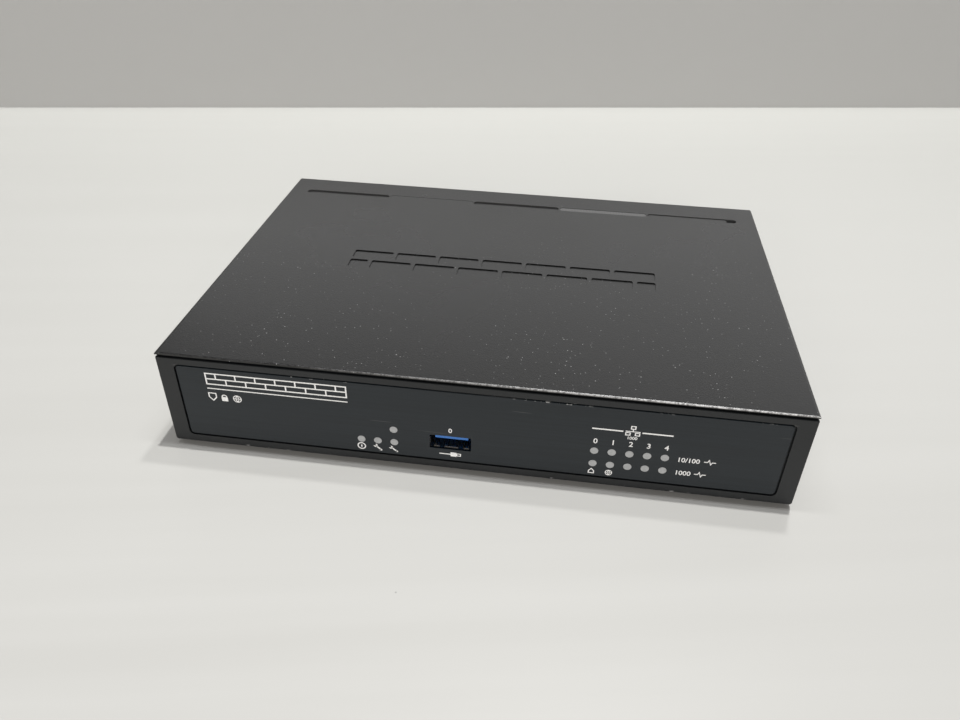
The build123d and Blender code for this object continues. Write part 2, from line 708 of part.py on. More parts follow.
def coin_cell_holder():
    ring = rod("Z", COIN_RADIUS + 1.8, (BOARD_TOP, COIN_Z[1] - 0.4), COIN_PLACE)
    ring -= rod("Z", COIN_RADIUS + 0.15, (COIN_Z[0] - 0.1, COIN_Z[1] + PAST), COIN_PLACE)
    x, y = COIN_PLACE
    gap = block((x, x + COIN_RADIUS + 3), around(y, 4.0), (COIN_Z[0] - 0.1, COIN_Z[1] + PAST))
    return ring - gap


def coin_cell_clip():
    x, y = COIN_PLACE
    width = around(y, 2.5)
    top = COIN_Z[1] + 0.1
    strap = block((x - COIN_RADIUS - 2.4, x + 3.0), width, (top, top + 0.3))
    leg = block(
        (x - COIN_RADIUS - 2.4, x - COIN_RADIUS - 2.1), width, (BOARD_TOP, top + 0.3)
    )
    return strap + leg


# ---------------------------------------------------------------- jacks
def socket_outline(x, grow=0.0):
    """The front opening of a network jack: a rectangle with a stepped latch notch."""
    low, high = SOCKET_Z
    opening = Pos(x, BOARD_TOP + (low + high) / 2) * Rectangle(
        2 * (SOCKET_HALF + grow), high - low + 2 * grow
    )
    for half, bottom in LATCH_STEPS:
        middle = BOARD_TOP + (bottom + low + 0.5) / 2
        opening += Pos(x, middle) * Rectangle(2 * (half + grow), low + 0.5 - bottom + 2 * grow)
    return opening


def jack_shell(x):
    """Folded metal can of a jack, open below, with spring fingers against the panel."""
    width, depth, height = JACK_SIZE
    back = JACK_FACE - depth
    shell = block(around(x, width / 2), (back, JACK_FACE), (BOARD_TOP, BOARD_TOP + height))
    shell = fillet(shell.edges().filter_by(Axis.Y).group_by(Axis.Z)[-1], 0.5)
    shell -= block(
        around(x, width / 2 - JACK_WALL),
        (back + JACK_WALL, JACK_FACE - JACK_WALL),
        (BOARD_TOP - PAST, BOARD_TOP + height - JACK_WALL),
    )
    shell -= prism_y(socket_outline(x, 0.15), (JACK_FACE - PAST, JACK_FACE + PAST))
    top = BOARD_TOP + height
    for offset in (-4.0, 4.0):
        finger = block(around(x + offset, 1.5), (JACK_FACE - 5.5, JACK_FACE - 2.2), (top - 0.1, top + 0.25))
        shell += fillet(finger.edges().filter_by(Axis.X).group_by(Axis.Z)[-1], 0.3)
    return shell


def jack_insert(x):
    """Moulded body of a jack, filling its can, with the plug's socket in its front."""
    width, depth, height = JACK_SIZE
    slack = JACK_WALL + 0.05
    front = JACK_FACE - slack
    insert = block(
        around(x, width / 2 - slack),
        (JACK_FACE - depth + slack, front),
        (BOARD_TOP, BOARD_TOP + height - slack),
    )
    insert -= prism_y(socket_outline(x), (front - SOCKET_DEPTH, front + PAST))
    for offset in rows(8, 1.02):
        comb = block(
            around(x + offset, 0.32),
            (front - SOCKET_DEPTH, front - 1.2),
            (BOARD_TOP + 11.0, BOARD_TOP + 12.1),
        )
        insert -= comb
    return insert


def jack_contacts():
    """Eight spring wires in each jack, sloping down and back from the comb."""
    wires = []
    front = JACK_FACE - JACK_WALL - 0.05
    start = (front - 1.6, BOARD_TOP + 11.95)
    bend = (front - 3.0, BOARD_TOP + 11.4)
    end = (front - 11.2, BOARD_TOP + 9.3)
    thickness = 0.32
    side_view = make_face(
        Polyline(
            start,
            bend,
            end,
            (end[0], end[1] - thickness),
            (bend[0], bend[1] - thickness),
            (start[0], start[1] - thickness),
            close=True,
        )
    )
    for x in [*ETHERNET_XS, CONSOLE_X]:
        for offset in rows(8, 1.02):
            wires.append(prism_x(side_view, around(x + offset, 0.23)))
    return group(wires)


def usb_shell():
    """Folded metal mouth of the front port, with legs in the board and three floor springs."""
    half_width, half_height = (size / 2 for size in USB_INNER)
    shell = block(
        around(USB_X, half_width + USB_WALL), USB_Y, around(USB_Z, half_height + USB_WALL)
    )
    shell = fillet(shell.edges().filter_by(Axis.Y), 0.5)
    shell -= block(
        around(USB_X, half_width), (USB_Y[0] - PAST, USB_Y[1] - USB_WALL), around(USB_Z, half_height)
    )
    floor = USB_Z - half_height
    for offset, width in ((-4.3, 1.6), (0.2, 4.2), (4.7, 1.6)):
        lip = block(
            around(USB_X + offset, width / 2), (USB_Y[0] + 0.2, USB_Y[0] + 1.2), (floor - 0.1, floor + 0.3)
        )
        shell += fillet(lip.edges().filter_by(Axis.X).group_by(Axis.Z)[-1], 0.25)
    for side in (-1, 1):
        x = USB_X + side * (half_width + USB_WALL / 2)
        shell += block(around(x, USB_WALL / 2), (-58.2, -55.8), (BOARD_BOTTOM - 0.5, USB_Z))
    return shell


USB_TONGUE_Z = (USB_Z + 0.25, USB_Z + 2.1)


def usb_tongue():
    tongue = block(around(USB_X + 0.2, 5.0), (USB_Y[0] + 0.8, -56.0), USB_TONGUE_Z)
    tongue = fillet(tongue.edges().filter_by(Axis.X).group_by(Axis.Y)[0], 0.3)
    root = block(
        around(USB_X, USB_INNER[0] / 2 - 0.05),
        (-56.0, USB_Y[1] - USB_WALL),
        around(USB_Z, USB_INNER[1] / 2 - 0.05),
    )
    return tongue + root


def usb_contacts():
    under = (USB_TONGUE_Z[0] - 0.12, USB_TONGUE_Z[0])
    strips = [
        block(around(USB_X + 0.2 + x, 0.5), (USB_Y[0] + 2.4, -57.0), under) for x in rows(4, 2.3)
    ]
    strips += [
        block(around(USB_X + 0.2 + x, 0.3), (USB_Y[0] + 1.2, USB_Y[0] + 2.1), under)
        for x in rows(5, 1.9)
    ]
    return group(strips)


def dc_jack_body():
    body = block((DC_X - 4.5, DC_X + 4.5), (PANEL_FRONT - 14.0, PANEL_FRONT - 0.1), (BOARD_TOP, DC_Z + 4.8))
    body = fillet(body.edges().filter_by(Axis.Y).group_by(Axis.Z)[-1], 0.8)
    nose = rod("Y", 4.3, (PANEL_FRONT - 1.0, JACK_FACE), (DC_X, DC_Z))
    body += fillet(nose.edges().group_by(Axis.Y)[-1], 0.3)
    body -= rod("Y", DC_BORE, (JACK_FACE - DC_DEPTH, JACK_FACE + PAST), (DC_X, DC_Z))
    body -= rod("Y", DC_PIN_ROOT, (JACK_FACE - DC_DEPTH - 3.0, JACK_FACE - DC_DEPTH), (DC_X, DC_Z))
    slot = block(
        around(DC_X, 1.4), (JACK_FACE - DC_DEPTH, JACK_FACE - 2.0), (DC_Z - DC_BORE - 0.7, DC_Z - 2.0)
    )
    return body - slot


def dc_jack_pin():
    bottom = JACK_FACE - DC_DEPTH
    pin = rod("Y", DC_PIN, (bottom, JACK_FACE - 1.0), (DC_X, DC_Z))
    pin = fillet(pin.edges().group_by(Axis.Y)[-1], 0.4)
    return pin + rod("Y", DC_PIN_ROOT, (bottom - 3.0, bottom), (DC_X, DC_Z))


def dc_jack_spring():
    low = DC_Z - DC_BORE - 0.6
    back = JACK_FACE - DC_DEPTH + 0.1
    side_view = make_face(
        Polyline(
            (back, low),
            (back + 6.6, low),
            (back + 6.6, low + 0.3),
            (back + 3.4, low + 0.95),
            (back, low + 0.3),
            close=True,
        )
    )
    return prism_x(side_view, around(DC_X, 1.2))


# ---------------------------------------------------------------- reset switch
RESET_FACE = 61.0           # front of the switch housing, towards the rear panel
RESET_STEM = 0.9
RESET_COLLAR = 1.5
RESET_COLLAR_Y = (59.2, 60.0)


def reset_switch():
    housing = block(around(RESET_X, 3.0), (56.6, RESET_FACE), (BOARD_TOP, BOARD_TOP + 4.6))
    housing = chamfer(housing.edges().group_by(Axis.Z)[-1], 0.3)
    chamber = (RESET_COLLAR_Y[0] - RESET_TRAVEL_ROOM, RESET_COLLAR_Y[1] + 0.05)
    housing -= rod("Y", RESET_COLLAR + 0.1, chamber, (RESET_X, RESET_Z))
    return housing - rod("Y", RESET_STEM + 0.08, (chamber[1], RESET_FACE + PAST), (RESET_X, RESET_Z))


def reset_button():
    stem = rod("Y", RESET_STEM, (RESET_COLLAR_Y[0], PANEL_FRONT - 0.5), (RESET_X, RESET_Z))
    stem = fillet(stem.edges().group_by(Axis.Y)[-1], 0.2)
    return stem + rod("Y", RESET_COLLAR, RESET_COLLAR_Y, (RESET_X, RESET_Z))


# ---------------------------------------------------------------- write the nodes
NODES = {
    "top_cover": top_cover(),
    "base_tray": base_tray(),
    "rear_panel": rear_panel(),
    "front_bezel": front_bezel(),
    "front_overlay": front_overlay(),
    "rubber_feet": rubber_feet(),
    "slot_seal_strips": slot_seal_strips(),
    "conductive_gasket": slot_strip(3, SLOT_LENGTH, 0.12),
    "insulator_sheet": insulator_sheet(),
    "rating_label": rating_label(),
    "cover_screws": cover_screws(),
    "clinch_nuts": clinch_nuts(),
    "bezel_screws": bezel_screws(),
    "board_standoffs": board_standoffs(),
    "board_screws": board_screws(),
    "panel_rivets": panel_rivets(),
    "ground_screw": ground_screw(),
    "ground_washer": ground_washer(),
    "port_light_pipe": light_pipe(PORT_LIGHTS),
    "status_light_pipe": light_pipe(STATUS_LIGHTS),
    "indicator_leds": indicator_leds(),
    "main_board": main_board(),
    "processor": processor(),
    "thermal_pad": thermal_pad(),
    "heat_sink": heat_sink(),
    "heat_sink_pins": heat_sink_pins(),
    "heat_sink_springs": heat_sink_springs(),
    "memory_chips": memory_chips(),
    "flash_chips": flash_chips(),
    "switch_chip": switch_chip(),
    "lan_transformers": lan_transformers(),
    "power_inductors": power_inductors(),
    "electrolytic_capacitors": electrolytic_capacitors(),
    "ceramic_capacitors": ceramic_capacitors(),
    "crystals": crystals(),
    "coin_cell": coin_cell(),
    "coin_cell_holder": coin_cell_holder(),
    "coin_cell_clip": coin_cell_clip(),
    "jack_contacts": jack_contacts(),
    "console_shell": jack_shell(CONSOLE_X),
    "console_insert": jack_insert(CONSOLE_X),
    "usb_shell": usb_shell(),
    "usb_tongue": usb_tongue(),
    "usb_contacts": usb_contacts(),
    "dc_jack_body": dc_jack_body(),
    "dc_jack_pin": dc_jack_pin(),
    "dc_jack_spring": dc_jack_spring(),
    "reset_switch": reset_switch(),
    "reset_button": reset_button(),
}
for number, jack_x in enumerate(ETHERNET_XS, start=1):
    NODES[f"ethernet_shell_{number}"] = jack_shell(jack_x)
    NODES[f"ethernet_insert_{number}"] = jack_insert(jack_x)

os.makedirs("parts", exist_ok=True)
for name, shape in NODES.items():
    export_step(shape, f"parts/{name}.step")
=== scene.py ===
import json
import math

import bmesh
import bpy
from mathutils import Matrix, Vector


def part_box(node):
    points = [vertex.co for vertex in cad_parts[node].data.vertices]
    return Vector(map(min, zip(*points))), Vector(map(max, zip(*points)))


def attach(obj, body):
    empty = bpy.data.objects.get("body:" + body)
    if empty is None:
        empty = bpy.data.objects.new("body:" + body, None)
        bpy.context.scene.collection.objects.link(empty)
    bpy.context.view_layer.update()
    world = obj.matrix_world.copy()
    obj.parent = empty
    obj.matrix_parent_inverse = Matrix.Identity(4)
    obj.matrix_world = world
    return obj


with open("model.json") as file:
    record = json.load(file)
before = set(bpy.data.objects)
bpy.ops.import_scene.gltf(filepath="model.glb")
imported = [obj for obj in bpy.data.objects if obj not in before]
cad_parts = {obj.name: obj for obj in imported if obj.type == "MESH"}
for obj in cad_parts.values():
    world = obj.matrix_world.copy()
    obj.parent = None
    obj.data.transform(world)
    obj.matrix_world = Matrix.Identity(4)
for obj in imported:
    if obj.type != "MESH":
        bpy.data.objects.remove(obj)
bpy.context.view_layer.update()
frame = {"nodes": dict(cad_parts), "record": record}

# A desktop firewall appliance on a pale laminate table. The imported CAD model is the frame:
# this script gives every CAD node its material, prints the front and rear panels, and sets
# the table, the light and the camera. Lengths are in metres.

MM = 0.001
NODES = frame["nodes"]
ROOT_BODY = "case"


# ---------------------------------------------------------------- shader helpers
class Shader:
    """A material being built around one Principled shader, in object coordinates."""

    def __init__(self, name, colour, roughness, metallic=0.0):
        self.material = bpy.data.materials.new(name)
        self.material.use_nodes = True
        self.tree = self.material.node_tree
        self.surface = self.tree.nodes["Principled BSDF"]
        self.set(**{"Base Color": colour, "Roughness": roughness, "Metallic": metallic})
        self.place = self.tree.nodes.new("ShaderNodeTexCoord").outputs["Object"]

    def set(self, **values):
        """Sets or links sockets of the Principled shader by name."""
        for name, value in values.items():
            self.feed(self.surface.inputs[name], value)

    def feed(self, socket, value):
        """Links a socket to another one, or gives it a number or colour."""
        if isinstance(value, bpy.types.NodeSocket):
            self.tree.links.new(value, socket)
        elif isinstance(value, tuple) and socket.type == "RGBA":
            socket.default_value = (*value[:3], 1.0)
        else:
            socket.default_value = value

    def node(self, kind, inputs, output=0, **settings):
        """Adds a node, feeds its inputs and returns one output socket."""
        made = self.tree.nodes.new(kind)
        for name, value in settings.items():
            setattr(made, name, value)
        for key, value in inputs.items():
            self.feed(made.inputs[key], value)
        return made.outputs[output]

    def stretched(self, factors):
        """Object coordinates multiplied along each axis."""
        return self.node("ShaderNodeVectorMath", {0: self.place, 1: factors}, operation="MULTIPLY")

    def noise(self, scale, detail=2.0, stretch=(1.0, 1.0, 1.0)):
        """Noise from 0 to 1 with features about 1 / scale metres across."""
        inputs = {"Vector": self.stretched(stretch), "Scale": scale, "Detail": detail}
        return self.node("ShaderNodeTexNoise", inputs)

    def cells(self, scale, output="Distance"):
        """Distance to the nearest of many scattered points, or that point's random colour."""
        inputs = {"Vector": self.place, "Scale": scale}
        return self.node("ShaderNodeTexVoronoi", inputs, output)

    def remap(self, value, low, high, to_low=0.0, to_high=1.0):
        """Moves a value's range low..high to to_low..to_high, clamped."""
        inputs = {"Value": value, "From Min": low, "From Max": high}
        inputs.update({"To Min": to_low, "To Max": to_high})
        return self.node("ShaderNodeMapRange", inputs)

    def math(self, operation, first, second):
        """Arithmetic on two values."""
        return self.node("ShaderNodeMath", {0: first, 1: second}, operation=operation)

    def mix(self, factor, first, second):
        """A colour between two colours."""
        inputs = {0: factor, 6: first, 7: second}
        return self.node("ShaderNodeMix", inputs, 2, data_type="RGBA")

    def axis(self, name):
        """One object coordinate: "X", "Y" or "Z"."""
        return self.node("ShaderNodeSeparateXYZ", {0: self.place}, name)

    def between(self, name, low, high, soft):
        """1 where an object coordinate lies in low..high, fading out over soft."""
        value = self.axis(name)
        rise = self.remap(value, low - soft, low)
        fall = self.remap(value, high, high + soft, 1.0, 0.0)
        return self.math("MULTIPLY", rise, fall)

    def bump(self, height, distance, strength=1.0):
        """Raises the surface by height times distance, in metres."""
        inputs = {"Height": height, "Distance": distance, "Strength": strength}
        self.set(Normal=self.node("ShaderNodeBump", inputs))


def grey(value, tint=0.0):
    """A neutral colour, made cooler by a positive tint and warmer by a negative one."""
    return (value * (1 - tint), value, value * (1 + tint))


# ---------------------------------------------------------------- materials
def dust_specks(shader, scale, radius, share):
    """Small round specks of varied brightness, in a share of the cells of a scattered grid."""
    near = shader.math("LESS_THAN", shader.cells(scale), radius * scale)
    lot = shader.node("ShaderNodeSeparateColor", {0: shader.cells(scale, "Color")})
    return shader.math("MULTIPLY", near, shader.remap(lot, 1.0 - share, 1.0))


def powder_coat(name, tone, dust):
    """Fine-grained black powder coat on steel, with specks of dust, mostly towards the front.

    Returns the shader and its colour, so that painted highlights and painted light can be laid over them.
    """
    shader = Shader(name, grey(tone), 0.28)
    grain = shader.noise(2300.0, 3.0)
    broad = shader.noise(18.0, 3.0)
    colour = shader.mix(shader.remap(broad, 0.3, 0.7), grey(tone * 0.85), grey(tone * 1.2))
    colour = shader.mix(shader.remap(grain, 0.6, 0.8, 0.0, 0.6), colour, grey(tone * 2.4))
    fine_dust = dust_specks(shader, 700.0, 0.17 * MM, dust)
    coarse_dust = dust_specks(shader, 210.0, 0.24 * MM, dust * 0.5)
    patch = shader.remap(shader.noise(24.0, 2.0), 0.4, 0.62, 0.12, 1.0)
    forward = shader.remap(shader.axis("Y"), -0.02, 0.04, 1.0, 0.25)
    amount = shader.math("MULTIPLY", shader.math("MULTIPLY", patch, forward), 0.7)
    specks = shader.math("ADD", fine_dust, coarse_dust)
    colour = shader.mix(shader.math("MULTIPLY", specks, amount), colour, grey(0.4))
    shader.set(**{"Base Color": colour, "Roughness": shader.remap(broad, 0.3, 0.7, 0.26, 0.31)})
    shader.bump(grain, 0.06 * MM, 0.7)
    return shader, colour


def chassis_paint():
    """The coat of the tray and the rear panel, a little lighter than the cover's and nearly clean."""
    return powder_coat("chassis_paint", 0.008, 0.05)[0].material


def cover_paint():
    """The cover's coat, with a painted highlight along the upper part of its front edge that brightens to
    the right, and painted light on the walls of the slot row.
    """
    shader, colour = powder_coat("cover_paint", 0.004, 0.7)
    low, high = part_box("top_cover")
    # Painted highlight: a grainy light-grey band on the upper part of the front edge, stronger towards the
    # right.
    on_face = shader.between("Y", low[1] - 0.1 * MM, low[1] + 0.14 * MM, 0.08 * MM)
    on_top = shader.between("Z", high[2] - 0.48 * MM, high[2], 0.08 * MM)
    on_edge = shader.math("MULTIPLY", on_face, on_top)
    highlight_grain = shader.remap(shader.noise(1500.0, 2.0), 0.35, 0.6, 0.35, 1.0)
    along = shader.remap(shader.axis("X"), low[0] * 0.55, high[0] * 0.62, 0.04, 1.0)
    painted_edge_highlight = shader.math("MULTIPLY", shader.math("MULTIPLY", on_edge, highlight_grain), along)
    colour = shader.mix(shader.math("MULTIPLY", painted_edge_highlight, 0.72), colour, grey(0.8))
    # Painted light: the walls of the slot row, up to 5 mm past its end, lie in shade below the top and are
    # painted lighter grey.
    slot_low, slot_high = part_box("slot_seal_strips")
    in_row = shader.between("Y", slot_low[1] - 0.2 * MM, slot_high[1] + 0.2 * MM, 0.05 * MM)
    in_length = shader.between("X", slot_low[0] - MM, slot_high[0] + 5 * MM, MM)
    sunk = shader.remap(shader.axis("Z"), high[2] - 0.05 * MM, high[2], 1.0, 0.0)
    painted_slot_light = shader.math("MULTIPLY", shader.math("MULTIPLY", in_row, in_length), sunk)
    shader.set(**{"Base Color": shader.mix(painted_slot_light, colour, grey(0.06))})
    return shader.material


def moulded(name, colour, roughness):
    """Moulded plastic: a fine spark-eroded texture and a slight change of tone."""
    shader = Shader(name, colour, roughness)
    fine = shader.noise(1800.0, 2.0)
    broad = shader.noise(30.0, 2.0)
    lighter = tuple(min(1.0, channel * 1.15) for channel in colour)
    darker = tuple(channel * 0.88 for channel in colour)
    shader.set(**{"Base Color": shader.mix(shader.remap(broad, 0.3, 0.7), darker, lighter)})
    shader.set(Roughness=shader.remap(fine, 0.3, 0.7, roughness - 0.05, roughness + 0.06))
    shader.bump(fine, 0.03 * MM, 0.6)
    return shader.material


def bezel_plastic():
    """The front frame's plastic, nicked along its lower edge, with a painted highlight along its edge just
    above the panel.
    """
    shader = Shader("bezel_plastic", grey(0.01, 0.03), 0.42)
    fine = shader.noise(2200.0, 2.0)
    broad = shader.noise(25.0, 2.0)
    colour = shader.mix(shader.remap(broad, 0.3, 0.7), grey(0.009, 0.1), grey(0.013, 0.12))
    edge = shader.between("Z", 1.2 * MM, 1.9 * MM, 0.3 * MM)
    nick = shader.remap(shader.noise(500.0, 2.0), 0.62, 0.68)
    here = shader.remap(shader.noise(40.0, 0.0), 0.58, 0.66)
    nick = shader.math("MULTIPLY", shader.math("MULTIPLY", edge, nick), here)
    colour = shader.mix(shader.math("MULTIPLY", nick, 0.6), colour, grey(0.3))
    low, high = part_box("front_overlay")
    # Painted highlight: a thin lighter line along the frame's edge just above the panel.
    painted_lip_highlight = shader.between("Z", high[2] + 0.1 * MM, high[2] + 0.4 * MM, 0.1 * MM)
    painted_lip_highlight = shader.math("MULTIPLY", painted_lip_highlight, shader.between("X", low[0], high[0], MM))
    colour = shader.mix(painted_lip_highlight, colour, grey(0.04))
    shader.set(**{"Base Color": colour, "Roughness": shader.remap(fine, 0.3, 0.7, 0.36, 0.46)})
    shader.bump(fine, 0.03 * MM, 0.5)
    return shader.material


def overlay_film():
    """A satin film brushed along its length, with a few fine scratches and a chipped upper rim."""
    shader = Shader("overlay_film", grey(0.01, 0.06), 0.36)
    brushed = shader.noise(1500.0, 3.0, (0.012, 1.0, 1.0))
    hair = shader.noise(4200.0, 1.0, (0.02, 1.0, 1.0))
    colour = shader.mix(shader.remap(brushed, 0.35, 0.65), grey(0.008, 0.4), grey(0.012, 0.35))
    scratch = shader.remap(shader.noise(900.0, 1.0, (0.03, 1.0, 1.0)), 0.745, 0.76)
    colour = shader.mix(shader.math("MULTIPLY", scratch, 0.2), colour, grey(0.2))
    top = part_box("front_overlay")[1][2]
    rim = shader.between("Z", top - 0.25 * MM, top, 0.05 * MM)
    worn = shader.remap(shader.noise(700.0, 2.0), 0.58, 0.64)
    here = shader.remap(shader.noise(30.0, 1.0), 0.5, 0.6)
    chipped = shader.math("MULTIPLY", shader.math("MULTIPLY", rim, worn), here)
    colour = shader.mix(shader.math("MULTIPLY", chipped, 0.6), colour, grey(0.5))
    shader.set(**{"Base Color": colour, "Roughness": shader.remap(brushed, 0.3, 0.7, 0.33, 0.39)})
    shader.bump(shader.math("ADD", brushed, hair), 0.006 * MM, 0.4)
    return shader.material


def plated(name, colour, roughness, along=(1.0, 1.0, 1.0)):
    """Plated or bare metal with fine drawing lines and faint tarnish."""
    shader = Shader(name, colour, roughness, 1.0)
    lines = shader.noise(2500.0, 2.0, along)
    stain = shader.noise(160.0, 3.0)
    dull = tuple(channel * 0.72 for channel in colour)
    shader.set(**{"Base Color": shader.mix(shader.remap(stain, 0.45, 0.75), colour, dull)})
    shader.set(Roughness=shader.remap(lines, 0.3, 0.7, roughness - 0.07, roughness + 0.1))
    shader.bump(lines, 0.012 * MM, 0.5)
    return shader.material


def rubber():
    """Black rubber with a fine matt grain."""
    shader = Shader("foot_rubber", grey(0.022), 0.75)
    fine = shader.noise(1400.0, 3.0)
    shader.set(**{"Base Color": shader.mix(shader.remap(fine, 0.3, 0.8), grey(0.018), grey(0.035))})
    shader.bump(fine, 0.05 * MM, 0.7)
    return shader.material


def foam():
    """Closed-cell foam of the strips in the slots, almost the cover's colour."""
    shader = Shader("seal_foam", grey(0.006), 0.32)
    pores = shader.cells(1500.0)
    shader.set(**{"Base Color": shader.mix(shader.remap(pores, 0.0, 0.6), grey(0.004), grey(0.009))})
    shader.bump(pores, 0.02 * MM, 0.3)
    return shader.material


def woven_cloth():
    """Conductive cloth wrapped over foam: a fine silver-grey plain weave."""
    shader = Shader("conductive_cloth", grey(0.12), 0.5, 0.2)
    weave = [
        shader.node(
            "ShaderNodeTexWave",
            {"Vector": shader.place, "Scale": 520.0, "Distortion": 1.5, "Detail": 1.0},
            1,
            bands_direction=direction,
        )
        for direction in ("X", "Y")
    ]
    threads = shader.math("MULTIPLY", *weave)
    shader.set(**{"Base Color": shader.mix(threads, grey(0.07), grey(0.16))})
    shader.bump(threads, 0.05 * MM, 0.6)
    return shader.material


def frosted_pipe():
    """Frosted light pipe, unlit: a flat grey with a faint cloudiness under a thin clear skin."""
    shader = Shader("pipe_plastic", grey(0.385, 0.02), 0.35)
    cloud = shader.noise(700.0, 2.0)
    cloudy = shader.mix(shader.remap(cloud, 0.3, 0.7), grey(0.365, 0.02), grey(0.41, 0.02))
    shader.set(**{"Base Color": cloudy, "Coat Weight": 0.25, "Coat Roughness": 0.25})
    shader.bump(cloud, 0.01 * MM, 0.4)
    return shader.material


def board_laminate():
    """Green solder mask with copper traces showing through and a sprinkle of vias."""
    shader = Shader("board_laminate", (0.012, 0.07, 0.028), 0.32)
    inputs = {"Vector": shader.place, "Scale": 180.0, "Mortar Size": 0.06}
    inputs.update({"Color1": (0.0, 0.0, 0.0), "Color2": (0.35, 0.35, 0.35), "Mortar": (1.0, 1.0, 1.0)})
    traces = shader.node("ShaderNodeTexBrick", inputs, 0, offset=0.37, squash=0.6)
    colour = shader.mix(traces, (0.01, 0.06, 0.024), (0.03, 0.15, 0.055))
    via = shader.math("LESS_THAN", shader.cells(330.0), 0.12)
    colour = shader.mix(via, colour, (0.45, 0.42, 0.36))
    shader.set(**{"Base Color": colour})
    shader.bump(traces, 0.02 * MM, 0.6)
    return shader.material


def printed_ink(name, tone):
    """Screen-printed ink, a little uneven at its edges."""
    shader = Shader(name, grey(tone), 0.5)
    patchy = shader.noise(1800.0, 2.0)
    shader.set(**{"Base Color": shader.mix(shader.remap(patchy, 0.25, 0.6), grey(tone * 0.82), grey(tone))})
    shader.bump(patchy, 0.01 * MM, 0.4)
    return shader.material


MATERIALS = {
    "cover_paint": cover_paint(),
    "chassis_paint": chassis_paint(),
    "bezel_plastic": bezel_plastic(),
    "overlay_film": overlay_film(),
    "foot_rubber": rubber(),
    "seal_foam": foam(),
    "conductive_cloth": woven_cloth(),
    "insulator_film": moulded("insulator_film", grey(0.04), 0.3),
    "label_film": moulded("label_film", grey(0.62, -0.02), 0.35),
    "black_zinc": plated("black_zinc", grey(0.06), 0.38),
    "bright_zinc": plated("bright_zinc", grey(0.6, 0.03), 0.32),
    "pipe_plastic": frosted_pipe(),
    "led_resin": moulded("led_resin", (0.75, 0.72, 0.5), 0.3),
    "board_laminate": board_laminate(),
    "chip_resin": moulded("chip_resin", grey(0.022), 0.5),
    "processor_lid": plated("processor_lid", grey(0.5), 0.4, (1.0, 0.05, 1.0)),
    "pad_silicone": moulded("pad_silicone", (0.4, 0.46, 0.52), 0.7),
    "sink_aluminium": plated("sink_aluminium", grey(0.55, 0.02), 0.42, (1.0, 0.03, 1.0)),
    "pin_nylon": moulded("pin_nylon", grey(0.7, -0.03), 0.45),
    "spring_steel": plated("spring_steel", grey(0.6), 0.25),
    "can_aluminium": plated("can_aluminium", grey(0.7), 0.3, (1.0, 1.0, 0.05)),
    "ceramic": moulded("ceramic", (0.4, 0.28, 0.16), 0.55),
    "nickel_can": plated("nickel_can", grey(0.66, -0.04), 0.24),
    "holder_plastic": moulded("holder_plastic", grey(0.03), 0.45),
    "jack_nickel": plated("jack_nickel", (0.62, 0.59, 0.54), 0.28, (1.0, 0.04, 1.0)),
    "jack_plastic": moulded("jack_plastic", grey(0.018), 0.4),
    "contact_gold": plated("contact_gold", (0.85, 0.62, 0.28), 0.22),
    "pin_nickel": plated("pin_nickel", (0.62, 0.6, 0.56), 0.2),
    "tongue_plastic": moulded("tongue_plastic", (0.045, 0.17, 0.5), 0.38),
    "button_plastic": moulded("button_plastic", grey(0.55), 0.42),
}


def give_materials():
    """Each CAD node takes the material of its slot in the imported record."""
    for part in frame["record"]["subparts"]:
        slots = NODES[part["node"]].data.materials
        slots.clear()
        slots.append(MATERIALS[part["material_slot"]])


# ---------------------------------------------------------------- printed graphics
INK_THICKNESS = 0.03        # millimetres, like every length of the artwork
CIRCLE_STEPS = 40
MITRE_LIMIT = 0.5
CAP_HEIGHT = 0.729          # of the built-in font, as a share of its size
FIGURE_SWELL = 0.02         # how far a figure's outline is thickened, as a share of its height


